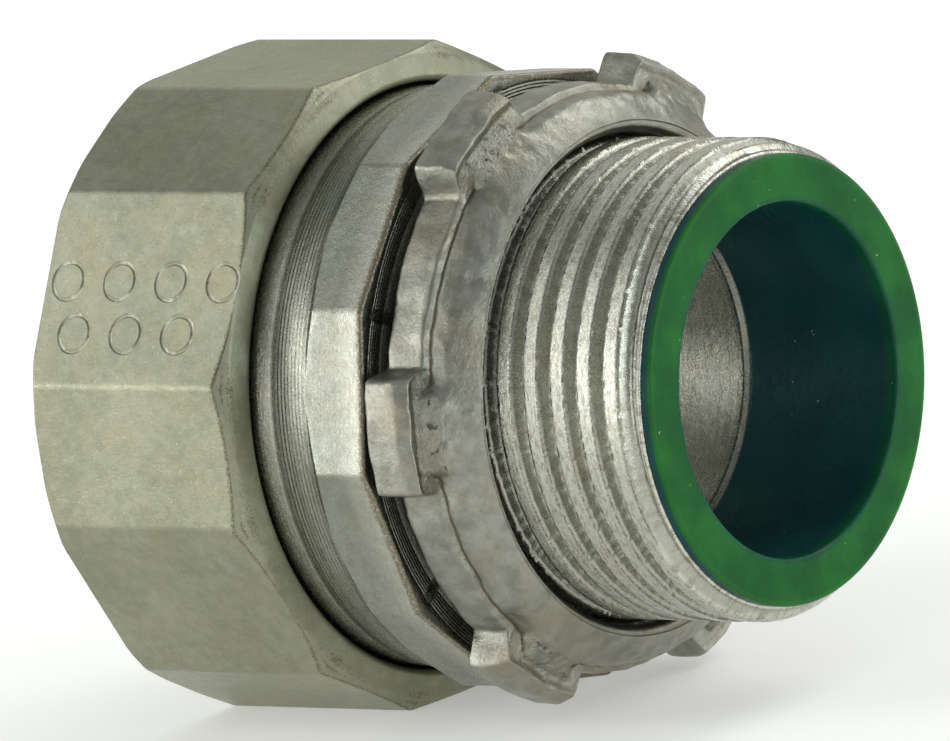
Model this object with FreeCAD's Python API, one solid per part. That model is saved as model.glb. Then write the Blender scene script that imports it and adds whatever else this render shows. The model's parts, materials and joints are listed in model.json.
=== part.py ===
import FreeCAD, Part
import math
import os

# Threadless conduit compression connector, 3/4 inch trade size, with an insulated
# throat. Units are millimetres. The fitting's axis is X: the mouth that enters the
# box points to +X and the conduit comes in from -X. X = 0 is the shoulder face that
# bears on the box wall. +Z is up, and the gland nut has a flat that faces down.

# Male thread: 3/4-14 straight pipe thread with a truncated crest.
THREAD_PITCH = 25.4 / 14
THREAD_CREST_R = 13.10
THREAD_DEPTH = 0.74
THREAD_ROOT_R = THREAD_CREST_R - THREAD_DEPTH
THREAD_FLANK_DEG = 30.0
THREAD_ROOT_FLAT = 0.06
THREAD_START_X = -0.80
MOUTH_X = 16.20
NECK_LENGTH = 1.20
NECK_RELIEF = 0.05
MOUTH_CHAMFER = 0.80

# Wrench flange, turned shoulder and plain band of the body.
FLANGE_CORNER_R = 17.20
FLANGE_CORNERS = 12
FLANGE_TURN_DEG = 3.4
FLANGE_LENGTH = 3.90
SEAT_FACE_R = 16.90
SEAT_CHAMFER_DEG = 30.0
FLANGE_BACK_CHAMFER = 0.55
SHOULDER_BACK_X = -6.80
BAND_R = 15.90
BAND_BACK_X = -9.60

# Threaded hub that the gland nut screws onto.
HUB_CREST_R = 15.70
HUB_DEPTH = 0.62
HUB_BACK_X = -17.60
HUB_TAPER_MOUTH_R = 14.90
HUB_TAPER_LENGTH = 1.80

# Passage through the body.
CONDUIT_R = 26.67 / 2
SOCKET_R = CONDUIT_R + 0.22
CONDUIT_STOP_X = -3.60
THROAT_R = 9.40
THROAT_CHAMFER = 0.35

# Insulating throat liner.
LINER_FLANGE_R = 12.24
LINER_FLANGE_THICKNESS = 0.67
LINER_OUTER_R = 10.85
LINER_BORE_R = 9.60
LINER_DEPTH = 9.95
LINER_TIP_LENGTH = 0.60
LINER_TIP_RELIEF = 0.25
LINER_EDGE_ROUND = 0.28
LINER_MOUTH_ROUND = 0.45

# Gland nut: a hexagon with truncated corners.
NUT_FRONT_X = -8.00
NUT_BACK_X = -21.80
NUT_WIDE_APOTHEM = 17.58
NUT_CORNER_R = 18.42
NUT_FRONT_FACE_R = 16.45
NUT_SHOULDER_SETBACK = 0.40
NUT_CORNER_SETBACK = 1.07
NUT_BACK_FACE_R = 18.05
NUT_LIP_R = 16.10
NUT_LIP_CHAMFER = 0.20
NUT_LIP_DEPTH = 1.75
NUT_MINOR_R = 15.88
NUT_MAJOR_R = 16.45
NUT_THREAD_BACK_X = -17.90
NUT_CONE_FRONT_R = 15.30
NUT_CONE_FRONT_X = -18.30
NUT_CONE_BACK_X = -20.50
NUT_EXIT_R = 13.75
NUT_EXIT_CHAMFER = 0.50
NUT_STAMPED_FLAT_DEG = 150.0
STAMP_OUTER_R = 1.15
STAMP_LINE = 0.22
STAMP_DEPTH = 0.12
STAMP_SPACING = 3.60
STAMP_ROW_OFFSETS = (0.40, -2.55)
STAMP_ROW_STARTS = (-20.30, -19.25)
STAMP_ROW_COUNTS = (4, 3)

# Split compression ring between the hub and the nut.
RING_BORE_R = 13.62
RING_OUTER_R = 14.75
RING_FRONT_X = -16.45
RING_BACK_X = -20.05
RING_NOSE_R = 13.90
RING_NOSE_LENGTH = 1.30
RING_SPLIT = 1.60

# Cast locknut.
LOCKNUT_BACK_X = 1.15
LOCKNUT_RIM_LENGTH = 2.70
LOCKNUT_RIM_R = 16.05
LOCKNUT_FACE_R = 15.60
LOCKNUT_FRONT_X = 6.15
LOCKNUT_NOSE_R = 14.10
LOCKNUT_BORE_R = 13.32
LOCKNUT_MAJOR_R = 13.80
LOCKNUT_BORE_CHAMFER = 0.65
LOCKNUT_DOME_RISE = 0.50
LUG_COUNT = 6
LUG_TURN_DEG = -4.0
LUG_OUTER_R = 17.95
LUG_HALF_DEG = 10.5
LUG_TAPER_DEG = 2.5
LUG_SHOULDER_X = 3.45
LUG_EDGE_X = 3.85
LUG_EDGE_R = 17.45
LUG_GUSSET_X = 4.90
LUG_GUSSET_R = 15.00

# How far a cutting tool runs past the metal.
OVERRUN = 1.0
GROOVE_OVERRUN = 0.3
AXIS = FreeCAD.Vector(1, 0, 0)
ORIGIN = FreeCAD.Vector(0, 0, 0)


def on_axis(x, radius, angle_deg=90.0):
    """Point at a distance along the axis, a radius and an angle from +Y towards +Z."""
    angle = math.radians(angle_deg)
    return FreeCAD.Vector(x, radius * math.cos(angle), radius * math.sin(angle))


def turned(profile):
    """Solid of revolution about X of a closed outline of (x, radius) points."""
    points = [on_axis(x, radius) for x, radius in profile]
    outline = Part.Face(Part.makePolygon(points + points[:1]))
    return outline.revolve(ORIGIN, AXIS, 360)


def prism(corners, x_low, x_high):
    """Solid between two planes, with a cross-section of (radius, angle) corners."""
    points = [on_axis(x_low, radius, angle) for radius, angle in corners]
    section = Part.Face(Part.makePolygon(points + points[:1]))
    return section.extrude(AXIS * (x_high - x_low))


def turned_curve(pieces):
    """Solid of revolution about X of lines (two points) and arcs (three points)."""
    edges = []
    for piece in pieces:
        points = [on_axis(x, radius) for x, radius in piece]
        curve = Part.Arc(*points) if len(points) == 3 else Part.LineSegment(*points)
        edges.append(curve.toShape())
    return Part.Face(Part.Wire(edges)).revolve(ORIGIN, AXIS, 360)


def thread_groove(x_low, x_high, root_r, surface_r):
    """Right-hand helical V groove from its root out (or in) past a surface."""
    direction = math.copysign(1.0, surface_r - root_r)
    outer_r = surface_r + direction * GROOVE_OVERRUN
    half_root = THREAD_ROOT_FLAT / 2
    half_top = half_root + abs(outer_r - root_r) * math.tan(math.radians(THREAD_FLANK_DEG))
    corners = [
        FreeCAD.Vector(root_r, 0, -half_root),
        FreeCAD.Vector(outer_r, 0, -half_top),
        FreeCAD.Vector(outer_r, 0, half_top),
        FreeCAD.Vector(root_r, 0, half_root),
    ]
    section = Part.makePolygon(corners + corners[:1])
    helix = Part.makeLongHelix(THREAD_PITCH, x_high - x_low, root_r)
    groove = Part.Wire(helix.Edges).makePipeShell([section], True, True)
    groove.rotate(ORIGIN, FreeCAD.Vector(0, 1, 0), 90)
    groove.translate(FreeCAD.Vector(x_low, 0, 0))
    return groove


def make_body():
    front_x = MOUTH_X - LINER_FLANGE_THICKNESS
    liner_end_x = MOUTH_X - LINER_DEPTH
    flange_flat_r = FLANGE_CORNER_R * math.cos(math.pi / FLANGE_CORNERS)
    neck_r = THREAD_ROOT_R - NECK_RELIEF
    stub = turned([
        (-OVERRUN, 0),
        (-OVERRUN, neck_r),
        (NECK_LENGTH - THREAD_DEPTH, neck_r),
        (NECK_LENGTH, THREAD_CREST_R),
        (front_x - MOUTH_CHAMFER, THREAD_CREST_R),
        (front_x, THREAD_CREST_R - MOUTH_CHAMFER),
        (front_x, 0),
    ])
    groove = thread_groove(
        THREAD_START_X, front_x + THREAD_PITCH, THREAD_ROOT_R, THREAD_CREST_R)
    stub = stub.cut(groove)

    step = 360.0 / FLANGE_CORNERS
    corners = [(FLANGE_CORNER_R, FLANGE_TURN_DEG + step * i) for i in range(FLANGE_CORNERS)]
    flange = prism(corners, -FLANGE_LENGTH, 0)
    seat_chamfer = (FLANGE_CORNER_R - SEAT_FACE_R) * math.tan(math.radians(SEAT_CHAMFER_DEG))
    flange = flange.common(turned([
        (0, 0),
        (0, SEAT_FACE_R),
        (-seat_chamfer, FLANGE_CORNER_R),
        (FLANGE_BACK_CHAMFER - FLANGE_LENGTH, FLANGE_CORNER_R),
        (-FLANGE_LENGTH, FLANGE_CORNER_R - FLANGE_BACK_CHAMFER),
        (-FLANGE_LENGTH, 0),
    ]))
    back = turned([
        (-FLANGE_LENGTH / 2, 0),
        (-FLANGE_LENGTH / 2, neck_r),
        (-FLANGE_LENGTH, flange_flat_r),
        (SHOULDER_BACK_X, BAND_R),
        (BAND_BACK_X, BAND_R),
        (BAND_BACK_X, HUB_CREST_R),
        (HUB_BACK_X + HUB_DEPTH, HUB_CREST_R),
        (HUB_BACK_X, HUB_CREST_R - HUB_DEPTH),
        (HUB_BACK_X, 0),
    ])
    hub_relief = turned([
        (BAND_BACK_X, HUB_CREST_R - HUB_DEPTH),
        (BAND_BACK_X, HUB_CREST_R + OVERRUN),
        (BAND_BACK_X - HUB_DEPTH, HUB_CREST_R + OVERRUN),
        (BAND_BACK_X - HUB_DEPTH, HUB_CREST_R),
        (BAND_BACK_X - HUB_DEPTH / 2, HUB_CREST_R - HUB_DEPTH),
    ])
    hub_groove = thread_groove(
        HUB_BACK_X - THREAD_PITCH, BAND_BACK_X - HUB_DEPTH / 2,
        HUB_CREST_R - HUB_DEPTH, HUB_CREST_R)
    back = back.cut(hub_relief).cut(hub_groove)

    passage = turned([
        (HUB_BACK_X - OVERRUN, 0),
        (HUB_BACK_X - OVERRUN, HUB_TAPER_MOUTH_R),
        (HUB_BACK_X, HUB_TAPER_MOUTH_R),
        (HUB_BACK_X + HUB_TAPER_LENGTH, SOCKET_R),
        (CONDUIT_STOP_X, SOCKET_R),
        (CONDUIT_STOP_X, THROAT_R + OVERRUN),
        (CONDUIT_STOP_X + OVERRUN, THROAT_R),
        (liner_end_x - THROAT_CHAMFER, THROAT_R),
        (liner_end_x, THROAT_R + THROAT_CHAMFER),
        (liner_end_x, LINER_OUTER_R),
        (front_x + OVERRUN, LINER_OUTER_R),
        (front_x + OVERRUN, 0),
    ])
    return back.fuse(flange).fuse(stub).cut(passage).removeSplitter()


def rounded_corner(x, radius, x_side, r_side, size):
    """Quarter arc in place of a square corner; each side is the sign towards the metal."""
    inset = size * (1 - math.sqrt(0.5))
    return [
        (x + x_side * size, radius),
        (x + x_side * inset, radius + r_side * inset),
        (x, radius + r_side * size),
    ]


def make_throat_liner():
    end_x = MOUTH_X - LINER_DEPTH
    flange_back_x = MOUTH_X - LINER_FLANGE_THICKNESS
    rim = rounded_corner(MOUTH_X, LINER_FLANGE_R, -1, -1, LINER_EDGE_ROUND)
    lip = rounded_corner(MOUTH_X, LINER_BORE_R, -1, 1, LINER_MOUTH_ROUND)
    corners = [
        (end_x, LINER_BORE_R),
        (end_x, LINER_OUTER_R - LINER_TIP_RELIEF),
        (end_x + LINER_TIP_LENGTH, LINER_OUTER_R),
        (flange_back_x, LINER_OUTER_R),
        (flange_back_x, LINER_FLANGE_R),
        rim[0],
    ]
    sides = [corners[i:i + 2] for i in range(len(corners) - 1)]
    return turned_curve(sides + [rim, (rim[2], lip[2]), lip, (lip[0], corners[0])])


def nut_outline():
    """Corners of the gland nut: six wide flats, each between two narrow ones."""
    half_wide = math.degrees(math.acos(NUT_WIDE_APOTHEM / NUT_CORNER_R))
    corners = []
    for i in range(6):
        middle = 270.0 + 60.0 * i
        corners.append((NUT_CORNER_R, middle - half_wide))
        corners.append((NUT_CORNER_R, middle + half_wide))
    return corners


def stamp_tools():
    """Plain ring stamps in two rows on one wide flat of the nut."""
    outward = on_axis(0, 1.0, NUT_STAMPED_FLAT_DEG)
    across = on_axis(0, 1.0, NUT_STAMPED_FLAT_DEG - 90)
    tools = []
    for offset, start_x, count in zip(STAMP_ROW_OFFSETS, STAMP_ROW_STARTS, STAMP_ROW_COUNTS):
        for i in range(count):
            x = start_x + STAMP_SPACING * i
            base = outward * (NUT_WIDE_APOTHEM - STAMP_DEPTH) + across * offset + AXIS * x
            disc = Part.makeCylinder(STAMP_OUTER_R, OVERRUN, base, outward)
            middle = Part.makeCylinder(STAMP_OUTER_R - STAMP_LINE, OVERRUN, base, outward)
            tools.append(disc.cut(middle))
    return Part.makeCompound(tools)


def make_gland_nut():
    back_chamfer = NUT_CORNER_R - NUT_BACK_FACE_R
    blank = prism(nut_outline(), NUT_BACK_X, NUT_FRONT_X)
    blank = blank.common(turned([
        (NUT_FRONT_X, 0),
        (NUT_FRONT_X, NUT_FRONT_FACE_R),
        (NUT_FRONT_X - NUT_SHOULDER_SETBACK, NUT_WIDE_APOTHEM),
        (NUT_FRONT_X - NUT_CORNER_SETBACK, NUT_CORNER_R),
        (NUT_BACK_X + back_chamfer, NUT_CORNER_R),
        (NUT_BACK_X, NUT_BACK_FACE_R),
        (NUT_BACK_X, 0),
    ]))
    cavity = turned([
        (NUT_FRONT_X + OVERRUN, 0),
        (NUT_FRONT_X + OVERRUN, NUT_LIP_R + NUT_LIP_CHAMFER),
        (NUT_FRONT_X, NUT_LIP_R + NUT_LIP_CHAMFER),
        (NUT_FRONT_X - NUT_LIP_CHAMFER, NUT_LIP_R),
        (NUT_FRONT_X - NUT_LIP_DEPTH, NUT_LIP_R),
        (NUT_FRONT_X - NUT_LIP_DEPTH - NUT_LIP_R + NUT_MINOR_R, NUT_MINOR_R),
        (NUT_THREAD_BACK_X, NUT_MINOR_R),
        (NUT_CONE_FRONT_X, NUT_CONE_FRONT_R),
        (NUT_CONE_BACK_X, NUT_EXIT_R),
        (NUT_BACK_X + NUT_EXIT_CHAMFER, NUT_EXIT_R),
        (NUT_BACK_X, NUT_EXIT_R + NUT_EXIT_CHAMFER),
        (NUT_BACK_X - OVERRUN, NUT_EXIT_R + NUT_EXIT_CHAMFER),
        (NUT_BACK_X - OVERRUN, 0),
    ])
    groove = thread_groove(
        NUT_THREAD_BACK_X + THREAD_PITCH / 2, NUT_FRONT_X, NUT_MAJOR_R, NUT_MINOR_R)
    return blank.cut(cavity).cut(groove).cut(stamp_tools())


def make_compression_ring():
    ring = turned([
        (RING_FRONT_X, RING_BORE_R),
        (RING_FRONT_X, RING_NOSE_R),
        (RING_FRONT_X - RING_NOSE_LENGTH, RING_OUTER_R),
        (RING_BACK_X + RING_NOSE_LENGTH, RING_OUTER_R),
        (RING_BACK_X, RING_NOSE_R),
        (RING_BACK_X, RING_BORE_R),
    ])
    length = RING_FRONT_X - RING_BACK_X
    corner = FreeCAD.Vector(RING_BACK_X - OVERRUN, -RING_SPLIT / 2, 0)
    split = Part.makeBox(length + 2 * OVERRUN, RING_SPLIT, RING_OUTER_R + OVERRUN, corner)
    return ring.cut(split)


def lug(angle_deg):
    """One cast lug of the locknut, narrower at its tip than at its root."""
    root_r = LOCKNUT_BORE_R + OVERRUN
    tip_r = LUG_OUTER_R / math.cos(math.radians(LUG_HALF_DEG))
    half_root = LUG_HALF_DEG + LUG_TAPER_DEG
    corners = [
        (root_r, angle_deg - half_root),
        (tip_r, angle_deg - LUG_HALF_DEG),
        (tip_r, angle_deg + LUG_HALF_DEG),
        (root_r, angle_deg + half_root),
    ]
    block = prism(corners, LOCKNUT_BACK_X, LUG_GUSSET_X)
    return block.common(turned([
        (LOCKNUT_BACK_X, 0),
        (LOCKNUT_BACK_X, LUG_OUTER_R),
        (LUG_SHOULDER_X, LUG_OUTER_R),
        (LUG_EDGE_X, LUG_EDGE_R),
        (LUG_GUSSET_X, LUG_GUSSET_R),
        (LUG_GUSSET_X, 0),
    ]))


def make_locknut():
    rim_x = LOCKNUT_BACK_X + LOCKNUT_RIM_LENGTH
    dome_x = (rim_x + LOCKNUT_FRONT_X) / 2 + LOCKNUT_DOME_RISE / 2
    dome_r = (LOCKNUT_FACE_R + LOCKNUT_NOSE_R) / 2 + LOCKNUT_DOME_RISE
    corners = [
        (LOCKNUT_FRONT_X, LOCKNUT_NOSE_R),
        (LOCKNUT_FRONT_X, LOCKNUT_BORE_R + LOCKNUT_BORE_CHAMFER),
        (LOCKNUT_FRONT_X - LOCKNUT_BORE_CHAMFER, LOCKNUT_BORE_R),
        (LOCKNUT_BACK_X, LOCKNUT_BORE_R),
        (LOCKNUT_BACK_X, LOCKNUT_RIM_R),
        (rim_x, LOCKNUT_RIM_R),
        (rim_x, LOCKNUT_FACE_R),
    ]
    sides = [corners[i:i + 2] for i in range(len(corners) - 1)]
    nut = turned_curve(sides + [(corners[-1], (dome_x, dome_r), corners[0])])
    for i in range(LUG_COUNT):
        nut = nut.fuse(lug(LUG_TURN_DEG + 360.0 / LUG_COUNT * i))
    groove = thread_groove(
        LOCKNUT_BACK_X - THREAD_PITCH, LOCKNUT_FRONT_X + THREAD_PITCH,
        LOCKNUT_MAJOR_R, LOCKNUT_BORE_R)
    return nut.cut(groove)


PARTS = {
    "body": make_body,
    "throat_liner": make_throat_liner,
    "gland_nut": make_gland_nut,
    "compression_ring": make_compression_ring,
    "locknut": make_locknut,
}

os.makedirs("parts", exist_ok=True)
for name, make in PARTS.items():
    shape = make()
    print(name, "valid", shape.isValid(), "solids", len(shape.Solids), "volume", round(shape.Volume, 1))
    shape.exportStep("parts/" + name + ".step")
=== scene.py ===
import json
import math

import bmesh
import bpy
from mathutils import Matrix, Vector, noise


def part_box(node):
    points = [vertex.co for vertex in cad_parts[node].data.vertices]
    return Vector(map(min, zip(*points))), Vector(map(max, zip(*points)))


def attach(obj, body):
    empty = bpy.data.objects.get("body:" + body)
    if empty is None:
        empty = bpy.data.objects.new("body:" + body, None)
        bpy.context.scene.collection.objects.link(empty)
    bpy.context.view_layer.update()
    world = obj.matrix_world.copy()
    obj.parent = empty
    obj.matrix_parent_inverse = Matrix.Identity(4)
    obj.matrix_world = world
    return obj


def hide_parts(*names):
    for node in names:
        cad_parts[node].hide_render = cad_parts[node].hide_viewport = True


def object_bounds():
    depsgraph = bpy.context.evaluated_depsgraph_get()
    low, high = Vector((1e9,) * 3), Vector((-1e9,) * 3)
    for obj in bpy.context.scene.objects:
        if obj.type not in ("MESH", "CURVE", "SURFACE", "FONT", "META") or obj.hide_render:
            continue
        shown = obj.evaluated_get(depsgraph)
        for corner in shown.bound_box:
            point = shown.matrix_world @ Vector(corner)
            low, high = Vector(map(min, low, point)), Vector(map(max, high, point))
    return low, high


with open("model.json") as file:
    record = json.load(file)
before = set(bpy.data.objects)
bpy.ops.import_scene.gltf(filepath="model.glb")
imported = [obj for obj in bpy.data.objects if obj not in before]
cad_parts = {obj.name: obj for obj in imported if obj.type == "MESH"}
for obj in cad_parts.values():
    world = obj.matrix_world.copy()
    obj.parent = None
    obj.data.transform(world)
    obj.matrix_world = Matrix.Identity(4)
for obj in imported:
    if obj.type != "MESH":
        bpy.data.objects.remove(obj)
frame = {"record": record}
cad_low, cad_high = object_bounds()

# Outlines are in millimetres along the axis X and in radius from it, and are turned
# into metres where a mesh is made. Angles are in degrees about X, from +Y towards +Z.
MM = 0.001
MOUNTS = {mount["name"]: mount for mount in frame["record"]["mounts"]}


def span(node):
    """Lowest and highest corner of a CAD node, in millimetres."""
    low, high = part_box(node)
    return low / MM, high / MM


def mount_radius(name):
    return MOUNTS[name]["dims"]["r_mm"]


liner_low, liner_high = span("throat_liner")
body_low, body_high = span("body")
nut_low, nut_high = span("gland_nut")
ring_low, ring_high = span("compression_ring")
lock_low, lock_high = span("locknut")

INCH = 25.4
THREADS_PER_INCH = 14
PITCH = INCH / THREADS_PER_INCH
THREAD_HALF_ANGLE = 30.0
THREAD_PHASE = 270.0
VALLEY_MARGIN = 0.03
VALLEY_ROUNDING = 2.4
FLANK_ROUGH = 0.45
CREST_ROUGH = 0.8
CREST_NICKS = 0.03

MOUTH_X = liner_high.x
LINER_FLANGE_R = liner_high.z
LINER_DEPTH = MOUTH_X - liner_low.x
LINER_OUTER_R = 10.85
LINER_BORE_R = mount_radius("liner_bore")
LINER_FLANGE_X = body_high.x
LINER_MIDDLE_R = 11.2

THREAD_R = mount_radius("box_thread")
THREAD_DEPTH = 0.74
THREAD_START_X = -0.80
NECK_X = 1.20
MOUTH_CHAMFER = 0.80

FLANGE_CORNERS = 12
FLANGE_TURN = 3.4
FLANGE_R = 17.20
FLANGE_BACK_X = -3.90
CONE_BACK_X = -6.80
BAND_R = 15.90
CONE_RINGS = 8
CONE_RING_DEPTH = 0.030
# Each ring's outline as (share of its width, how far sunk, wear).
CONE_RING_SHAPE = ((0.12, 0.0, 0.0), (0.42, 1.0, 0.3), (0.58, 1.0, 0.3), (0.88, 0.0, 0.0))
SEAT_RIDGES = 6
SEAT_RIDGE_DEPTH = 0.06
SEAT_RIDGES_LOW_R = 15.20
SEAT_RIDGES_HIGH_R = 16.30
BAND_BACK_X = -9.60
HUB_R = 15.70
HUB_DEPTH = 0.62
HUB_BACK_X = body_low.x
HUB_TAPER_R = 14.90
SOCKET_R = mount_radius("conduit_socket")
SOCKET_STOP_X = -3.60
THROAT_R = mount_radius("throat")

NUT_FRONT_X = nut_high.x
NUT_BACK_X = nut_low.x
NUT_APOTHEM = nut_high.z
NUT_CORNER_R = 18.42
NUT_FRONT_FACE_R = 16.45
NUT_BACK_FACE_R = 18.05
NUT_LIP_R = 16.10
NUT_MINOR_R = 15.88
NUT_EXIT_R = 13.75
NUT_HALF_WIDE = math.degrees(math.acos(NUT_APOTHEM / NUT_CORNER_R))
NUT_THREAD_BACK_X = -17.9
NUT_THREAD_START_X = -17.0
NUT_THREAD_DEPTH = 0.50
NUT_CONE_R = 15.30
STAMPED_FLAT = 150.0
NUT_SHOULDER_SETBACK = 0.40
NUT_CORNER_SETBACK = 1.07
NUT_LIP_CHAMFER = 0.20
STAMP_R = 1.05
STAMP_WIRE_R = 0.15
STAMP_RISE = 0.07
STAMP_SPACING = 3.60
# Each row of stamps as (offset across the flat, first ring's X, number of rings).
STAMP_ROWS = ((0.40, -20.30, 4), (-2.55, -19.25, 3))
STAMP_STEPS = 40
STAMP_WIRE_STEPS = 10

RING_SPLIT = 1.60
RING_BORE_R = 13.62
RING_OUTER_R = 14.75
RING_NOSE_R = 13.90
RING_NOSE_LENGTH = 1.3
RING_STEPS = 180

LOCK_BACK_X = lock_low.x
LOCK_FRONT_X = lock_high.x
LOCK_BORE_R = 13.32
LOCK_THREAD_DEPTH = 0.45
LOCK_FACE_R = 14.02
LOCK_MOUTH_R = 13.95
LUG_TURN = -4.0
LUG_R = 17.95
LUG_HALF = 10.5
LUG_TAPER = 2.5

# Spacing of the outlines round the axis, in degrees, and the closer ones at corners.
BODY_STEP = 1.5
NUT_STEP = 2.0
LOCK_STEP = 0.8
CORNER_OFFSETS = (-1.4, -0.8, -0.4, 0.0, 0.4, 0.8, 1.4)
CORNER_SOFTENING = 0.03
CORNER_SOFT_REACH = 0.5
CORNER_WEAR_REACH = 1.4
MERGE_DISTANCE = 0.0005 * MM
SLIVER_SIZE = 0.0002 * MM
NORMAL_WEIGHT = 60

# noise_vector takes its seed from the clock unless one is set.
NOISE_SEED = 7
noise.seed_set(NOISE_SEED)


def polar(angle):
    """Unit vector across the axis."""
    return Vector((0, math.cos(math.radians(angle)), math.sin(math.radians(angle))))


def smooth_step(low, high, value):
    t = min(1.0, max(0.0, (value - low) / (high - low)))
    return t * t * (3 - 2 * t)


def rounded(corners, steps=3, guard=0.35):
    """Closed outline with its corners cut back to a curve.

    A corner is (x, r, cut, wear and painted light, zone), and the last three may be
    left out. cut is how far from the corner its curve starts. The fourth value is how
    much its edge stains; it also paints the locknut's crease dark as shade and the
    liner's rims lighter as a highlight. zone marks rough metal, and on the liner it
    marks the face painted a lit green, where the bore and flange side are painted a
    darker green as shade. The number of points never depends on the sizes, so
    outlines can be joined.
    """
    full = [tuple(corner) + (0.0,) * (5 - len(corner)) for corner in corners]
    points = []
    count = len(full)
    for i in range(count):
        x, radius, cut, wear_and_painted_light, zone = full[i]
        if cut == 0.0:
            points.append((x, radius, wear_and_painted_light, zone))
            continue
        here = Vector((x, radius))
        before = Vector(full[i - 1][:2]) - here
        after = Vector(full[(i + 1) % count][:2]) - here
        start = here + before.normalized() * min(cut, 0.45 * before.length)
        end = here + after.normalized() * min(cut, 0.45 * after.length)
        far_start = here + before.normalized() * min(cut + guard, 0.49 * before.length)
        far_end = here + after.normalized() * min(cut + guard, 0.49 * after.length)
        points.append((far_start.x, far_start.y, 0.0, zone))
        for k in range(steps + 1):
            t = k / steps
            p = start * (1 - t) ** 2 + here * (2 * t * (1 - t)) + end * t * t
            points.append((p.x, p.y, wear_and_painted_light, zone))
        points.append((far_end.x, far_end.y, 0.0, zone))
    return points


def thread(angle, x_from, x_to, crest_r, depth, start_x, chamfer=0.0):
    """Right-hand thread between two planes as points of the outline at one angle.

    It winds on by a pitch a turn, so the outline at 360 degrees is the one at 0
    moved by one turn's points, and both ends close on the same two points.
    """
    low, high = min(x_from, x_to), max(x_from, x_to)
    root_r = crest_r - depth
    turns = int(math.ceil((high - low) / PITCH)) + 2
    first = math.floor((low - start_x) / PITCH) - 1
    end_r = crest_r - chamfer if chamfer else root_r
    valley = abs(depth) * math.tan(math.radians(THREAD_HALF_ANGLE)) / PITCH + VALLEY_MARGIN
    half = []
    for across in (0.0, 0.30, 0.55, 0.80, 1.0):
        radius = crest_r - depth * (1 - across ** VALLEY_ROUNDING)
        half.append((across * valley, radius, 0.9 if across == 1.0 else 0.0, FLANK_ROUGH))
    shape = half + [
        (valley + 0.07, crest_r, 0.4, CREST_ROUGH),
        (0.5, crest_r, 0.1, CREST_ROUGH),
        (0.93 - valley, crest_r, 0.4, CREST_ROUGH),
    ]
    shape += [(1 - share, *rest) for share, *rest in reversed(half[1:])]
    points = []
    for turn in range(turns):
        for share, radius, wear_and_painted_light, zone in shape:
            x = start_x + PITCH * (first + turn + share + (angle - THREAD_PHASE) / 360.0)
            nick = noise.noise(polar(angle) * 24 + Vector((x * 1.6, 0, 0)))
            radius -= CREST_NICKS * abs(nick)
            chamfer_r = crest_r - chamfer + max(0.0, high - x)
            if chamfer and radius > chamfer_r:
                radius = chamfer_r
                wear_and_painted_light, zone = 0.6, 1.0
            if x <= low:
                points.append((low, root_r, 0.0, 0.0))
            elif x >= high:
                points.append((high, end_r, 0.6 if chamfer else 0.0, zone if chamfer else 0.0))
            else:
                points.append((x, radius, wear_and_painted_light, zone))
    if x_from > x_to:
        points.reverse()
    return points


def angle_list(step, corners=(), offsets=()):
    """Angles right round the axis, with extra ones close to each corner."""
    regular = [step * i for i in range(int(round(360 / step)))]
    near = [(corner + offset) % 360 for corner in corners for offset in offsets]
    reach = max([abs(offset) for offset in offsets], default=0.0)

    def far_from_corners(angle):
        gaps = [abs((angle - corner + 180) % 360 - 180) for corner in corners]
        return min(gaps, default=360.0) > reach + step * 0.3

    kept = [angle for angle in regular if far_from_corners(angle)]
    return sorted({round(angle, 6) for angle in near + kept})


def polygon_radius(angle, corner_angles, corner_r):
    """Radius of a polygon with its corners on a circle, slightly rounded.

    Returns the radius and how close the angle is to a corner, from 0 to 1.
    """
    count = len(corner_angles)
    for i in range(count):
        start = corner_angles[i]
        width = (corner_angles[(i + 1) % count] - start) % 360
        along = (angle - start) % 360
        if along <= width:
            break
    half = math.radians(width / 2)
    apothem = corner_r * math.cos(half)
    radius = apothem / math.cos(math.radians(along) - half)
    gap = min(along, width - along)
    cap = corner_r - CORNER_SOFTENING * max(0.0, 1 - gap / CORNER_SOFT_REACH) ** 2
    return min(radius, cap), max(0.0, 1 - gap / CORNER_WEAR_REACH)


def lofted(name, outline_at, angles, closed=True, shape_point=None):
    """Mesh through the outlines at each angle, with edge wear and painted light, and zone, kept
    on its points.
    """
    loop = list(angles) + ([angles[0] + 360.0] if closed else [])
    rows = [outline_at(angle) for angle in loop]
    count = len(rows[0])
    mesh = bmesh.new()
    # The edge value stains worn edges, and at a few places paints shade or a highlight.
    wear_layer = mesh.verts.layers.float.new("wear_and_painted_light")
    zone_layer = mesh.verts.layers.float.new("zone")
    grid = []
    for angle, row in zip(loop, rows):
        out = polar(angle)
        line = []
        for x, radius, wear_and_painted_light, zone in row:
            place = Vector((x, 0, 0)) + out * radius
            if shape_point:
                place = shape_point(place, angle)
            vertex = mesh.verts.new(place * MM)
            vertex[wear_layer] = wear_and_painted_light
            vertex[zone_layer] = zone
            line.append(vertex)
        grid.append(line)
    for i in range(len(grid) - 1):
        for j in range(count):
            k = (j + 1) % count
            mesh.faces.new((grid[i][j], grid[i][k], grid[i + 1][k], grid[i + 1][j]))
    if not closed:
        mesh.faces.new(list(reversed(grid[0])))
        mesh.faces.new(grid[-1])
    bmesh.ops.remove_doubles(mesh, verts=mesh.verts, dist=MERGE_DISTANCE)
    bmesh.ops.dissolve_degenerate(mesh, edges=mesh.edges, dist=SLIVER_SIZE)
    bmesh.ops.recalc_face_normals(mesh, faces=mesh.faces)
    for face in mesh.faces:
        face.smooth = True
    data = bpy.data.meshes.new(name)
    mesh.to_mesh(data)
    mesh.free()
    piece = bpy.data.objects.new(name, data)
    bpy.context.scene.collection.objects.link(piece)
    return piece


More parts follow.
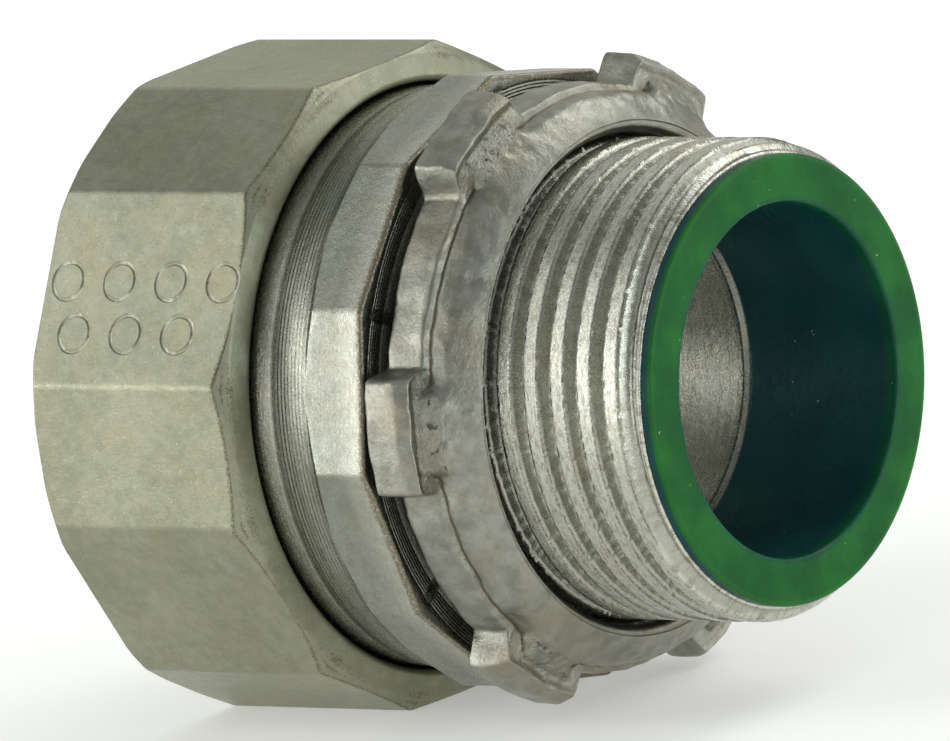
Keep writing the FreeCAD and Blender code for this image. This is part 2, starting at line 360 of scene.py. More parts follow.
def finish_piece(piece, node, body, material, weighting="FACE_AREA"):
    """Gives a piece its material, shading and body, and hides the CAD node it replaces.

    FACE_AREA weighting keeps flat faces flat. CORNER_ANGLE leaves fainter marks on
    fine turned rings at a polygon's corners, though it does not clear them.
    """
    piece.data.materials.append(material)
    normals = piece.modifiers.new("even_normals", "WEIGHTED_NORMAL")
    normals.mode = weighting
    normals.keep_sharp = True
    normals.weight = NORMAL_WEIGHT
    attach(piece, body)
    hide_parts(node)


# ---------------------------------------------------------------- materials


class Shader:
    """Short forms for building one material's nodes."""

    def __init__(self, name, **constants):
        self.material = bpy.data.materials.new(name)
        self.material.use_nodes = True
        self.tree = self.material.node_tree
        self.surface = self.tree.nodes["Principled BSDF"]
        for socket, value in constants.items():
            self.surface.inputs[socket.replace("_", " ")].default_value = value
        coordinates = self.tree.nodes.new("ShaderNodeTexCoord")
        scale = self.tree.nodes.new("ShaderNodeMapping")
        scale.inputs["Scale"].default_value = (1 / MM, 1 / MM, 1 / MM)
        self.tree.links.new(coordinates.outputs["Object"], scale.inputs["Vector"])
        self.place = scale.outputs["Vector"]

    def node(self, kind, **inputs):
        made = self.tree.nodes.new(kind)
        for socket, value in inputs.items():
            self.put(made.inputs[socket.replace("_", " ")], value)
        return made

    def put(self, socket, value):
        if isinstance(value, bpy.types.NodeSocket):
            self.tree.links.new(value, socket)
        else:
            socket.default_value = value

    def math(self, operation, first, second=None):
        made = self.tree.nodes.new("ShaderNodeMath")
        made.operation = operation
        self.put(made.inputs[0], first)
        if second is not None:
            self.put(made.inputs[1], second)
        return made.outputs[0]

    def noise(self, scale, detail=3.0, vector=None, roughness=0.5):
        made = self.node(
            "ShaderNodeTexNoise", Vector=vector or self.place, Scale=scale,
            Detail=detail, Roughness=roughness)
        return made.outputs["Fac"]

    def lift(self, value, low, high, to_low=0.0, to_high=1.0):
        """A value's range, smoothly stretched to another range."""
        made = self.tree.nodes.new("ShaderNodeMapRange")
        made.interpolation_type = "SMOOTHSTEP"
        for i, number in enumerate((value, low, high, to_low, to_high)):
            self.put(made.inputs[i], number)
        return made.outputs[0]

    def blend(self, share, first, second):
        made = self.tree.nodes.new("ShaderNodeMix")
        made.data_type = "RGBA"
        self.put(made.inputs["Factor"], share)
        self.put(made.inputs[6], first)
        self.put(made.inputs[7], second)
        return made.outputs[2]

    def bump(self, height, distance, normal=None):
        made = self.node("ShaderNodeBump", Height=height, Distance=distance * MM)
        if normal:
            self.put(made.inputs["Normal"], normal)
        return made.outputs["Normal"]

    def mask(self, name):
        made = self.tree.nodes.new("ShaderNodeAttribute")
        made.attribute_name = name
        return made.outputs["Fac"]

    def turned(self, along, around):
        """Coordinates that stretch noise round the axis X, without a seam."""
        parts = self.tree.nodes.new("ShaderNodeSeparateXYZ")
        self.put(parts.inputs[0], self.place)
        square = self.math("ADD", self.math("POWER", parts.outputs["Y"], 2.0),
                           self.math("POWER", parts.outputs["Z"], 2.0))
        radius = self.math("SQRT", square)
        place = self.math("ADD", parts.outputs["X"], self.math("MULTIPLY", radius, 0.7))
        joined = self.tree.nodes.new("ShaderNodeCombineXYZ")
        self.put(joined.inputs["X"], self.math("MULTIPLY", place, along))
        for side in ("Y", "Z"):
            share = self.math("DIVIDE", parts.outputs[side], radius)
            self.put(joined.inputs[side], self.math("MULTIPLY", share, around))
        return joined.outputs[0]


def rgb(red, green, blue):
    return (red, green, blue, 1.0)


STAIN = rgb(0.13, 0.09, 0.035)
NUT_STAIN = rgb(0.12, 0.09, 0.045)
WORN_ZINC = rgb(0.70, 0.70, 0.61)
ZINC_FLECK = rgb(0.66, 0.65, 0.55)
BODY_LIGHT, BODY_DARK = rgb(0.305, 0.315, 0.27), rgb(0.23, 0.24, 0.195)
NUT_LIGHT, NUT_DARK = rgb(0.335, 0.34, 0.25), rgb(0.255, 0.265, 0.185)
RING_LIGHT, RING_DARK = rgb(0.34, 0.34, 0.30), rgb(0.27, 0.27, 0.235)
CAST_LIGHT, CAST_DARK = rgb(0.345, 0.345, 0.295), rgb(0.25, 0.25, 0.205)
CAST_WARM = rgb(0.33, 0.295, 0.225)
CAST_GRIME = rgb(0.17, 0.12, 0.06)
CAST_EDGE_STAIN_AND_SHADE = rgb(0.13, 0.10, 0.055)
CAST_PIT = rgb(0.06, 0.06, 0.05)
# Liner colours are painted light on one green nylon: the bore's dark teal is painted shade, the
# face's brighter green is painted light, and the rim colour is a painted highlight.
SHADED_BORE_LIGHT, SHADED_BORE_DARK = rgb(0.008, 0.060, 0.058), rgb(0.005, 0.044, 0.046)
LIT_FACE_LIGHT, LIT_FACE_DARK = rgb(0.009, 0.130, 0.018), rgb(0.004, 0.085, 0.015)
PAINTED_RIM_HIGHLIGHT = rgb(0.050, 0.190, 0.040)
DUST = rgb(0.55, 0.62, 0.40)


def plated(name, light, dark, stain, roughness, lathe=0.0, grain=1.0):
    """Zinc plate on steel: cloudy tone, fine grain, stained edges, coarse rough zones."""
    shader = Shader(name, Metallic=1.0)
    clouds = shader.noise(0.16, 4.0, roughness=0.6)
    mottle = shader.noise(1.3, 5.0, roughness=0.65)
    fine = shader.noise(8.0, 4.0, roughness=0.75)
    tone = shader.math(
        "ADD", shader.math("MULTIPLY", clouds, 0.5), shader.math("MULTIPLY", mottle, 0.5))
    colour = shader.blend(shader.lift(tone, 0.36, 0.64), dark, light)
    hue = shader.lift(shader.noise(0.45, 4.0, roughness=0.7), 0.45, 0.68, 0.0, 0.45)
    warm = rgb(light[0] * 1.02, light[1] * 0.90, light[2] * 0.78)
    colour = shader.blend(hue, colour, warm)
    colour = shader.blend(shader.lift(fine, 0.60, 0.78, 0.0, 0.40), colour, stain)

    zone = shader.mask("zone")
    coarse = shader.noise(1.0, 4.0, shader.turned(4.6, 24.0), 0.75)
    colour = shader.blend(shader.math("MULTIPLY", zone, 0.8), colour, WORN_ZINC)
    pits = shader.math("MULTIPLY", zone, shader.lift(coarse, 0.52, 0.40, 0.0, 0.50))
    colour = shader.blend(pits, colour, stain)
    ragged = shader.math("MULTIPLY", shader.math("SUBTRACT", fine, 0.5), 2.4)
    edge = shader.lift(shader.math("ADD", shader.mask("wear_and_painted_light"), ragged), 0.62, 1.15, 0.0, 0.75)
    colour = shader.blend(edge, colour, stain)
    flecks = shader.lift(shader.noise(9.0, 3.0), 0.62, 0.74, 0.0, 0.45)
    colour = shader.blend(flecks, colour, ZINC_FLECK)
    shader.put(shader.surface.inputs["Base Color"], colour)

    rough = shader.lift(fine, 0.3, 0.7, roughness - 0.07, roughness + 0.09)
    rough = shader.math("ADD", rough, shader.math("MULTIPLY", edge, 0.10))
    normal = shader.bump(shader.math("MULTIPLY", zone, coarse), 0.035)
    normal = shader.bump(fine, 0.016 * grain, normal=normal)
    normal = shader.bump(shader.noise(2.2, 2.0), 0.016 * grain, normal=normal)
    if lathe:
        rings = shader.noise(1.0, 3.0, shader.turned(7.0, 0.8), 0.7)
        normal = shader.bump(rings, 0.010 * lathe, normal=normal)
    shader.put(shader.surface.inputs["Roughness"], rough)
    shader.put(shader.surface.inputs["Normal"], normal)
    return shader.material


def cast_plate():
    """Rough plated casting with soft lumps, open pits and grime in its grain."""
    shader = Shader("cast_locknut", Metallic=1.0)
    lumps = shader.noise(0.9, 5.0, roughness=0.6)
    grain = shader.noise(6.5, 4.0, roughness=0.7)
    clouds = shader.noise(0.30, 4.0, roughness=0.6)
    colour = shader.blend(shader.lift(lumps, 0.35, 0.65), CAST_DARK, CAST_LIGHT)
    colour = shader.blend(shader.lift(clouds, 0.45, 0.66, 0.0, 0.6), colour, CAST_WARM)
    colour = shader.blend(shader.lift(grain, 0.58, 0.75, 0.0, 0.5), colour, CAST_GRIME)
    # Worn edges are stained dark brown; the same colour paints the crease behind the front bead
    # as shade.
    wear_and_painted_light = shader.math(
        "ADD", shader.mask("wear_and_painted_light"),
        shader.math("MULTIPLY", shader.math("SUBTRACT", grain, 0.5), 1.5))
    edge = shader.lift(wear_and_painted_light, 0.45, 1.0, 0.0, 0.75)
    colour = shader.blend(edge, colour, CAST_EDGE_STAIN_AND_SHADE)
    zone = shader.mask("zone")
    open_pits = shader.lift(shader.noise(1.6, 3.0, roughness=0.6), 0.42, 0.36, 0.0, 0.8)
    colour = shader.blend(shader.math("MULTIPLY", zone, open_pits), colour, CAST_PIT)
    shader.put(shader.surface.inputs["Base Color"], colour)
    shader.put(shader.surface.inputs["Roughness"], shader.lift(grain, 0.3, 0.7, 0.29, 0.44))
    normal = shader.bump(lumps, 0.09)
    normal = shader.bump(grain, 0.032, normal=normal)
    knobs = shader.math("MULTIPLY", zone, shader.noise(2.6, 4.0, roughness=0.7))
    normal = shader.bump(knobs, 0.18, normal=normal)
    shader.put(shader.surface.inputs["Normal"], normal)
    return shader.material


def green_nylon():
    """Moulded nylon in painted light: lit green face, bore painted a darker teal shade, rims
    painted lighter as a highlight, mould texture and dust.
    """
    shader = Shader("green_nylon", IOR=1.50, Specular_IOR_Level=0.12)
    clouds = shader.lift(shader.noise(0.25, 3.0), 0.35, 0.65)
    # Bore and flange side take a darker, bluer green painted as shade; the mouth face takes a
    # brighter green painted as lit.
    bore_in_shade = shader.blend(clouds, SHADED_BORE_DARK, SHADED_BORE_LIGHT)
    face = shader.blend(clouds, LIT_FACE_DARK, LIT_FACE_LIGHT)
    colour = shader.blend(shader.mask("zone"), bore_in_shade, face)
    dust = shader.noise(3.2, 2.0, roughness=0.4)
    colour = shader.blend(shader.lift(dust, 0.76, 0.80, 0.0, 0.6), colour, DUST)
    # The liner's rounded rims are painted a lighter, yellower green as a highlight.
    edge = shader.lift(shader.mask("wear_and_painted_light"), 0.3, 1.0, 0.0, 0.5)
    colour = shader.blend(edge, colour, PAINTED_RIM_HIGHLIGHT)
    shader.put(shader.surface.inputs["Base Color"], colour)
    fine = shader.noise(4.0, 3.0)
    shader.put(shader.surface.inputs["Roughness"], shader.lift(fine, 0.3, 0.7, 0.26, 0.38))
    normal = shader.bump(shader.noise(1.2, 3.0), 0.03)
    shader.put(shader.surface.inputs["Normal"], shader.bump(fine, 0.008, normal=normal))
    return shader.material


# ------------------------------------------------------------------- pieces


def make_body():
    corner_angles = [FLANGE_TURN + 30.0 * i for i in range(FLANGE_CORNERS)]
    flat_r = FLANGE_R * math.cos(math.pi / FLANGE_CORNERS)
    liner_end_x = MOUTH_X - LINER_DEPTH
    root_r = THREAD_R - THREAD_DEPTH
    hub_root_r = HUB_R - HUB_DEPTH
    seat_width = SEAT_RIDGES_HIGH_R - SEAT_RIDGES_LOW_R
    seat_ridges = []
    for i in range(SEAT_RIDGES):
        for share, sink in ((0.0, 0.0), (0.4, 1.0)):
            ridge_r = SEAT_RIDGES_LOW_R + seat_width * (i + share) / SEAT_RIDGES
            seat_ridges.append((-sink * SEAT_RIDGE_DEPTH, ridge_r, 0.0, 0.8 * sink))
    seat_ridges.append((0.0, SEAT_RIDGES_HIGH_R))
    lathe_cuts = []
    for i in range(CONE_RINGS):
        for share, sink, wear_and_painted_light in CONE_RING_SHAPE:
            along = 0.10 + 0.82 * (i + share) / CONE_RINGS
            x = FLANGE_BACK_X + (CONE_BACK_X - FLANGE_BACK_X) * along
            depth = CONE_RING_DEPTH * (0.45 + 0.55 * math.sin(i * 2.3) ** 2)
            lathe_cuts.append((x, flat_r + (BAND_R - flat_r) * along - sink * depth, 0.0, wear_and_painted_light))

    def outline(angle):
        side_r, corner = polygon_radius(angle, corner_angles, FLANGE_R)
        chamfer_x = FLANGE_BACK_X + max(0.0, side_r - flat_r)
        front = rounded([
            (LINER_FLANGE_X, LINER_OUTER_R),
            (LINER_FLANGE_X, THREAD_R - MOUTH_CHAMFER, 0.05, 0.4, 1.0),
            (LINER_FLANGE_X - 0.3, THREAD_R - MOUTH_CHAMFER + 0.3),
        ])[:-1]
        screw = thread(angle, LINER_FLANGE_X - 0.02, NECK_X, THREAD_R, THREAD_DEPTH,
                       THREAD_START_X, MOUTH_CHAMFER)
        flange = rounded([
            (NECK_X, root_r - 0.05),
            (0.0, root_r - 0.05, 0.1),
            *seat_ridges,
            (0.0, side_r - 0.14, 0.12, 1.0),
            (-0.14, side_r, 0.12, 1.0, 0.4),
            (-1.9, side_r, 0.0, corner * 0.5),
            (chamfer_x, side_r, 0.08, 0.5),
            (FLANGE_BACK_X, flat_r + 0.02, 0.08, 0.5),
            *lathe_cuts,
            (CONE_BACK_X, BAND_R, 0.15, 0.3),
            (CONE_BACK_X - 0.25, BAND_R, 0.0, 0.1, 0.4),
            (BAND_BACK_X + 0.2, BAND_R, 0.0, 0.1, 0.4),
            (BAND_BACK_X, BAND_R, 0.10, 0.2),
            (BAND_BACK_X, hub_root_r, 0.08),
        ])
        hub = thread(angle, BAND_BACK_X - 0.5, HUB_BACK_X, HUB_R, HUB_DEPTH, HUB_BACK_X)
        bore = rounded([
            (HUB_BACK_X, HUB_TAPER_R, 0.08),
            (HUB_BACK_X + 1.8, SOCKET_R, 0.1),
            (SOCKET_STOP_X, SOCKET_R, 0.1),
            (SOCKET_STOP_X, THROAT_R + 1.0, 0.1),
            (SOCKET_STOP_X + 1.0, THROAT_R, 0.1),
            ((SOCKET_STOP_X + liner_end_x) / 2, THROAT_R, 0.0, 0.8),
            (liner_end_x - 0.35, THROAT_R, 0.08),
            (liner_end_x, THROAT_R + 0.35, 0.05),
            (liner_end_x, LINER_OUTER_R - 0.02),
        ])
        return front[1:] + screw + flange + hub + bore

    angles = angle_list(BODY_STEP, corner_angles, CORNER_OFFSETS)
    return lofted("connector_body", outline, angles)


def make_liner():
    def outline(angle):
        return rounded([
            (liner_low.x, LINER_BORE_R - 0.05, 0.12),
            (liner_low.x, LINER_OUTER_R - 0.25, 0.1),
            (liner_low.x + 0.6, LINER_OUTER_R, 0.1),
            (LINER_FLANGE_X, LINER_OUTER_R),
            (LINER_FLANGE_X, LINER_FLANGE_R, 0.04),
            (MOUTH_X - 0.32, LINER_FLANGE_R),
            # zone 1.0 marks the mouth face, painted a lit green; the rest of the liner keeps
            # the bore colour painted as shade.
            (MOUTH_X, LINER_FLANGE_R, 0.28, 0.6, 1.0),
            (MOUTH_X, LINER_MIDDLE_R, 0.0, 0.0, 1.0),
            (MOUTH_X, LINER_BORE_R + 0.40, 0.0, 0.0, 1.0),
            (MOUTH_X, LINER_BORE_R, 0.42, 0.3, 0.5),
            (MOUTH_X - 0.9, LINER_BORE_R),
        ], steps=6, guard=0.1)

    return lofted("insulated_throat", outline, angle_list(BODY_STEP))


def nut_corners():
    corners = []
    for i in range(6):
        middle = 270.0 + 60.0 * i
        corners += [(middle - NUT_HALF_WIDE) % 360, (middle + NUT_HALF_WIDE) % 360]
    return sorted(corners)


def make_nut():
    corner_angles = nut_corners()

    def outline(angle):
        side_r, corner = polygon_radius(angle, corner_angles, NUT_CORNER_R)
        past_flat = max(0.0, side_r - NUT_APOTHEM) / (NUT_CORNER_R - NUT_APOTHEM)
        shoulder_r = min(side_r, NUT_APOTHEM)
        shoulder_x = NUT_FRONT_X - NUT_SHOULDER_SETBACK
        corner_x = shoulder_x - (NUT_CORNER_SETBACK - NUT_SHOULDER_SETBACK) * past_flat
        back_cut = max(0.0, side_r - NUT_BACK_FACE_R)
        sides = []
        for share in (0.25, 0.5, 0.75):
            x = NUT_FRONT_X + (NUT_BACK_X - NUT_FRONT_X) * share
            sides.append((x, side_r, 0.0, corner * 0.5))
        return rounded([
            (NUT_FRONT_X - NUT_LIP_CHAMFER - 0.10, NUT_LIP_R, 0.06, 0.3),
            (NUT_FRONT_X - 0.08, NUT_LIP_R + NUT_LIP_CHAMFER, 0.12),
            (NUT_FRONT_X, NUT_FRONT_FACE_R, 0.14),
            (shoulder_x, shoulder_r - 0.01, 0.18, 0.2 + 0.7 * past_flat),
            ((shoulder_x + corner_x) / 2, (shoulder_r + side_r) / 2, 0.0, 1.1 * past_flat),
            (corner_x - 0.002, side_r, 0.08, 0.9),
            *sides,
            (NUT_BACK_X + back_cut + 0.001, side_r, 0.10, 0.6),
            (NUT_BACK_X, min(side_r, NUT_BACK_FACE_R), 0.15, 0.6),
            (NUT_BACK_X, NUT_EXIT_R + 0.5, 0.1, 0.3),
            (NUT_BACK_X + 0.5, NUT_EXIT_R, 0.1, 0.3),
            (NUT_BACK_X + 1.3, NUT_EXIT_R, 0.1),
            (NUT_BACK_X + 3.5, NUT_CONE_R, 0.1),
        ]) + thread(
            angle, NUT_THREAD_BACK_X, NUT_FRONT_X - 2.05, NUT_MINOR_R, -NUT_THREAD_DEPTH,
            NUT_THREAD_START_X
        ) + [
            (NUT_FRONT_X - 1.98, NUT_MINOR_R, 0.0, 0.0),
            (NUT_FRONT_X - 1.75, NUT_LIP_R, 0.0, 0.0),
        ]

    angles = angle_list(NUT_STEP, corner_angles, CORNER_OFFSETS)
    nut = lofted("compression_nut", outline, angles)
    press_stamps(nut)
    return nut


def press_stamps(nut):
    """Presses two rows of plain rings into one wide flat."""
    outward = polar(STAMPED_FLAT)
    across = polar(STAMPED_FLAT - 90)
    cutter = bmesh.new()
    for offset, start_x, count in STAMP_ROWS:
        for i in range(count):
            middle = (Vector((start_x + STAMP_SPACING * i, 0, 0))
                      + outward * (NUT_APOTHEM + STAMP_RISE) + across * offset)
            rows = []
            for j in range(STAMP_STEPS):
                turn = 2 * math.pi * j / STAMP_STEPS
                arm = Vector((math.cos(turn), 0, 0)) + across * math.sin(turn)
                row = []
                for k in range(STAMP_WIRE_STEPS):
                    roll = 2 * math.pi * k / STAMP_WIRE_STEPS
                    reach = STAMP_R + STAMP_WIRE_R * math.cos(roll)
                    place = middle + arm * reach + outward * (STAMP_WIRE_R * math.sin(roll))
                    row.append(cutter.verts.new(place * MM))
                rows.append(row)
            for j in range(STAMP_STEPS):
                here, following = rows[j], rows[(j + 1) % STAMP_STEPS]
                for k in range(STAMP_WIRE_STEPS):
                    m = (k + 1) % STAMP_WIRE_STEPS
                    cutter.faces.new((here[k], following[k], following[m], here[m]))
    bmesh.ops.recalc_face_normals(cutter, faces=cutter.faces)
    data = bpy.data.meshes.new("stamp_tool")
    cutter.to_mesh(data)
    cutter.free()
    tool = bpy.data.objects.new("stamp_tool", data)
    bpy.context.scene.collection.objects.link(tool)
    cut = nut.modifiers.new("stamps", "BOOLEAN")
    cut.operation = "DIFFERENCE"
    cut.solver = "EXACT"
    cut.object = tool
    settled = nut.evaluated_get(bpy.context.evaluated_depsgraph_get())
    result = bpy.data.meshes.new_from_object(settled)
    nut.modifiers.clear()
    nut.data = result
    bpy.data.objects.remove(tool)


def make_ring():
    low_x, high_x = ring_low.x, ring_high.x

    def outline(angle):
        return rounded([
            (high_x, RING_BORE_R, 0.1, 0.5),
            (high_x, RING_NOSE_R, 0.1, 0.5),
            (high_x - RING_NOSE_LENGTH, RING_OUTER_R, 0.1, 0.3),
            (low_x + RING_NOSE_LENGTH, RING_OUTER_R, 0.1, 0.3),
            (low_x, RING_NOSE_R, 0.1, 0.5),
            (low_x, RING_BORE_R, 0.1, 0.5),
        ])

    half = math.degrees(RING_SPLIT / 2 / RING_BORE_R)
    width = 360.0 - 2 * half
    angles = [90.0 + half + width * i / RING_STEPS for i in range(RING_STEPS + 1)]
    return lofted("split_ring", outline, angles, closed=False)


def lug_gap(angle):
    return abs((angle - LUG_TURN + 30) % 60 - 30)


def make_locknut():
    """Cast ring with six lugs; each lug's web to the domed front is shorter than it."""
    rim = (
        (LOCK_FRONT_X, LOCK_FACE_R, 0.12),
        (5.70, 14.66, 0.30),
        (4.92, 15.46, 0.30),
        (4.05, 15.68, 0.20, 0.1),
        # The edge value 1.0 here, and 0.5 on the next point, paints the crease behind the front
        # bead dark brown as its shade.
        (3.82, 15.62, 0.06, 1.0),
        (3.74, 15.80, 0.06, 0.5),
        (3.58, 16.05, 0.18, 0.3),
        (3.05, 16.05, 0.10),
        (2.20, 16.08),
        (LOCK_BACK_X, 16.05, 0.35, 0.2),
    )
    lug_web = (
        (LOCK_FRONT_X, LOCK_FACE_R, 0.12),
        (5.70, 14.68, 0.30),
        (4.96, 15.60, 0.30),
        (4.40, 16.15, 0.25, 0.0, 1.0),
        (3.66, 16.86, 0.20, 0.2, 1.0),
        (3.72, 17.14, 0.10, 0.7),
        (3.88, 17.52, 0.14, 0.2),
        (3.10, LUG_R - 0.03, 0.18),
        (2.20, LUG_R),
        (LOCK_BACK_X, LUG_R, 0.35, 0.2),
    )
    web_points = 5

    def outline(angle):
        gap = lug_gap(angle)
        lug = 1 - smooth_step(LUG_HALF - 0.8, LUG_HALF + LUG_TAPER - 0.3, gap)
        web = 1 - smooth_step(LUG_HALF - 4.2, LUG_HALF - 0.9, gap)
        corners = []
        for i, (low, high) in enumerate(zip(rim, lug_web)):
            share = web if i < web_points else lug
            low = tuple(low) + (0.0,) * (5 - len(low))
            high = tuple(high) + (0.0,) * (5 - len(high))
            corners.append([a + (b - a) * share for a, b in zip(low, high)])
        corners[-3][3] = max(corners[-3][3], 2.4 * lug * (1 - lug))
        points = rounded(corners + [
            (LOCK_BACK_X, 15.0),
            (LOCK_BACK_X, LOCK_BORE_R + 0.4, 0.2),
        ], steps=4, guard=0.2)
        return points + thread(
            angle, LOCK_BACK_X + 0.3, LOCK_FRONT_X - 0.75, LOCK_BORE_R, -LOCK_THREAD_DEPTH,
            LOCK_BACK_X
        ) + [
            (LOCK_FRONT_X - 0.6, LOCK_BORE_R + 0.1, 0.0, 0.0),
            (LOCK_FRONT_X, LOCK_MOUTH_R, 0.6, 0.0),
        ]

    lugs = [LUG_TURN + 60.0 * i for i in range(6)]
    sides = [lug + side * (LUG_HALF + 0.6) for lug in lugs for side in (-1, 1)]
    offsets = [-2.4 + 0.4 * i for i in range(13)]
    angles = angle_list(LOCK_STEP, sides, offsets)

    def lumpy(place, angle):
        radius = math.hypot(place.y, place.z)
        outside = smooth_step(LOCK_BORE_R + 0.5, LOCK_BORE_R + 1.4, radius)
        drift = noise.noise_vector(place * 0.55) * 0.12 + noise.noise_vector(place * 1.6) * 0.05
        web = (1 - smooth_step(5.0, 9.0, lug_gap(angle))) * smooth_step(15.2, 15.8, radius)
        front = smooth_step(3.75, 3.95, place.x) * web
        knobs = noise.noise(place * 1.9) * 0.16 + noise.noise(place * 4.1) * 0.09
        moved = place + drift * outside + Vector((knobs * front, 0, 0))
        moved.x = min(max(moved.x, LOCK_BACK_X), LOCK_FRONT_X)
        moved.y = min(max(moved.y, lock_low.y), lock_high.y)
        moved.z = min(max(moved.z, lock_low.z), lock_high.z)
        return moved

    return lofted("cast_locknut", outline, angles, shape_point=lumpy)


turned_steel = plated(
    "plated_steel", BODY_LIGHT, BODY_DARK, STAIN, 0.26, lathe=1.0, grain=1.3)
flat_steel = plated("plated_nut", NUT_LIGHT, NUT_DARK, NUT_STAIN, 0.34, grain=1.3)
ring_steel = plated("plated_ring", RING_LIGHT, RING_DARK, STAIN, 0.34, lathe=0.7)

body = make_body()
finish_piece(body, "body", "connector", turned_steel, weighting="CORNER_ANGLE")
liner = make_liner()
finish_piece(liner, "throat_liner", "connector", green_nylon())
nut = make_nut()
finish_piece(nut, "gland_nut", "nut", flat_steel)
ring = make_ring()
finish_piece(ring, "compression_ring", "ring", ring_steel)
locknut = make_locknut()
finish_piece(locknut, "locknut", "lock", cast_plate())

# -------------------------------------------------------------------- stage

AZIMUTH, ELEVATION = math.radians(39.3), math.radians(12.0)
AXIS_SLOPE = math.radians(-0.8)
VIEW_WIDTH = 51.21 * MM
LENS = 700.0
SENSOR = 36.0
AIM_RIGHT, AIM_UP = -16.95 * MM, 0.51 * MM
CLIP_START, CLIP_END = 0.05, 10.0
FLOOR_REACH = 3.0
FLOOR_COLOUR, FLOOR_GLOW_COLOUR, FLOOR_GLOW = rgb(0.92, 0.92, 0.905), rgb(1.0, 1.0, 0.985), 0.30
SKY_COLOUR = rgb(0.95, 1.0, 0.98)
SKY_LOW, SKY_HIGH, SKY_SEEN = 0.26, 0.50, 0.80
WHITE = (1.0, 1.0, 1.0)
# Each light as name, azimuth, elevation, distance, width, height, radiance, tint.
LIGHTS = (
    ("left_key", -39, 6, 0.70, 0.36, 0.18, 1.8, (0.96, 0.97, 1.0)),
    ("left_side", -63, 7, 0.70, 0.20, 0.24, 9.0, WHITE),
    ("front_strip", -13, 6, 0.70, 0.14, 0.24, 6.0, WHITE),
    ("left_high", -50, 35, 0.80, 0.45, 0.32, 1.6, WHITE),
    ("right_fill", 97, 5, 0.80, 0.50, 0.22, 6.0, (0.90, 0.97, 1.0)),
    ("back_right", 141, 14, 0.90, 0.60, 0.40, 1.5, WHITE),
    ("back_right_top", 165, 42, 0.90, 0.60, 0.40, 3.2, WHITE),
    ("back_left_high", 232, 42, 0.90, 0.40, 0.30, 0.6, WHITE),
    ("back_left", 219, 14, 0.90, 0.60, 0.30, 0.50, (1.0, 0.97, 0.80)),
)

to_camera = Vector((
    math.sin(AZIMUTH) * math.cos(ELEVATION),
    -math.cos(AZIMUTH) * math.cos(ELEVATION),
    math.sin(ELEVATION)))
level_right = Vector((math.cos(AZIMUTH), math.sin(AZIMUTH), 0))
level_up = to_camera.cross(level_right)
roll = AXIS_SLOPE - math.atan2(level_up.x, level_right.x)
right = level_right * math.cos(roll) - level_up * math.sin(roll)
up = level_right * math.sin(roll) + level_up * math.cos(roll)


def aim_matrix(place, x_axis, y_axis, z_axis):
    matrix = Matrix.Identity(4)
    for column, axis in enumerate((x_axis, y_axis, z_axis, place)):
        for row in range(3):
            matrix[row][column] = axis[row]
    return matrix


def make_camera():
    data = bpy.data.cameras.new("camera")
    data.lens = LENS
    data.sensor_width = SENSOR
    camera = bpy.data.objects.new("camera", data)
    bpy.context.scene.collection.objects.link(camera)
    aim = Vector((MOUTH_X * MM, 0, 0)) + right * AIM_RIGHT + up * AIM_UP
    distance = VIEW_WIDTH * LENS / SENSOR
    camera.matrix_world = aim_matrix(aim + to_camera * distance, right, up, to_camera)
    data.clip_start, data.clip_end = CLIP_START, CLIP_END
    bpy.context.scene.camera = camera


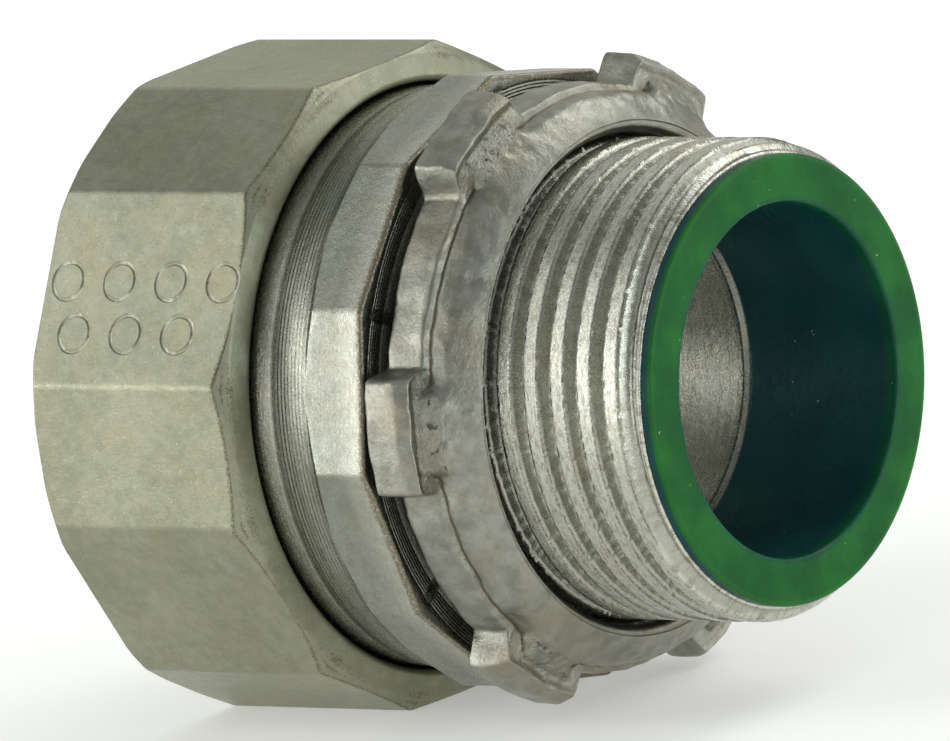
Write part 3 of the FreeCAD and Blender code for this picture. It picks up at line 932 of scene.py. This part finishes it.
def make_light(name, azimuth, elevation, distance, width, height, radiance, tint):
    """Soft box facing the origin; angles are degrees, azimuth from -Y towards +X."""
    turn, lift = math.radians(azimuth), math.radians(elevation)
    direction = Vector((
        math.sin(turn) * math.cos(lift), -math.cos(turn) * math.cos(lift), math.sin(lift)))
    data = bpy.data.lights.new(name, "AREA")
    data.shape = "RECTANGLE"
    data.size, data.size_y = width, height
    data.energy = radiance * math.pi * width * height
    data.color = tint
    light = bpy.data.objects.new(name, data)
    bpy.context.scene.collection.objects.link(light)
    light.location = direction * distance
    light.rotation_mode = "QUATERNION"
    light.rotation_quaternion = direction.to_track_quat("Z", "Y")
    light.visible_camera = False


def make_floor():
    mesh = bmesh.new()
    bmesh.ops.create_grid(mesh, x_segments=1, y_segments=1, size=FLOOR_REACH)
    data = bpy.data.meshes.new("floor")
    mesh.to_mesh(data)
    mesh.free()
    floor = bpy.data.objects.new("floor", data)
    bpy.context.scene.collection.objects.link(floor)
    floor.location.z = cad_low.z
    paint = Shader(
        "pale_floor", Roughness=0.9, Specular_IOR_Level=0.1, Emission_Strength=FLOOR_GLOW)
    paint.surface.inputs["Base Color"].default_value = FLOOR_COLOUR
    paint.surface.inputs["Emission Color"].default_value = FLOOR_GLOW_COLOUR
    data.materials.append(paint.material)


def make_world():
    """Pale backdrop that looks brighter than the light it gives, most of it overhead."""
    world = bpy.data.worlds.new("studio")
    world.use_nodes = True
    tree = world.node_tree
    back = tree.nodes["Background"]
    coordinates = tree.nodes.new("ShaderNodeTexCoord")
    parts = tree.nodes.new("ShaderNodeSeparateXYZ")
    ramp = tree.nodes.new("ShaderNodeMapRange")
    path = tree.nodes.new("ShaderNodeLightPath")
    pick = tree.nodes.new("ShaderNodeMix")
    tree.links.new(coordinates.outputs["Generated"], parts.inputs[0])
    tree.links.new(parts.outputs["Z"], ramp.inputs["Value"])
    ramp.inputs["To Min"].default_value = SKY_LOW
    ramp.inputs["To Max"].default_value = SKY_HIGH
    tree.links.new(path.outputs["Is Camera Ray"], pick.inputs["Factor"])
    tree.links.new(ramp.outputs["Result"], pick.inputs["A"])
    pick.inputs["B"].default_value = SKY_SEEN
    tree.links.new(pick.outputs["Result"], back.inputs["Strength"])
    back.inputs["Color"].default_value = SKY_COLOUR
    bpy.context.scene.world = world


make_camera()
make_floor()
make_world()
for light in LIGHTS:
    make_light(*light)
bpy.context.scene.view_settings.view_transform = "Standard"
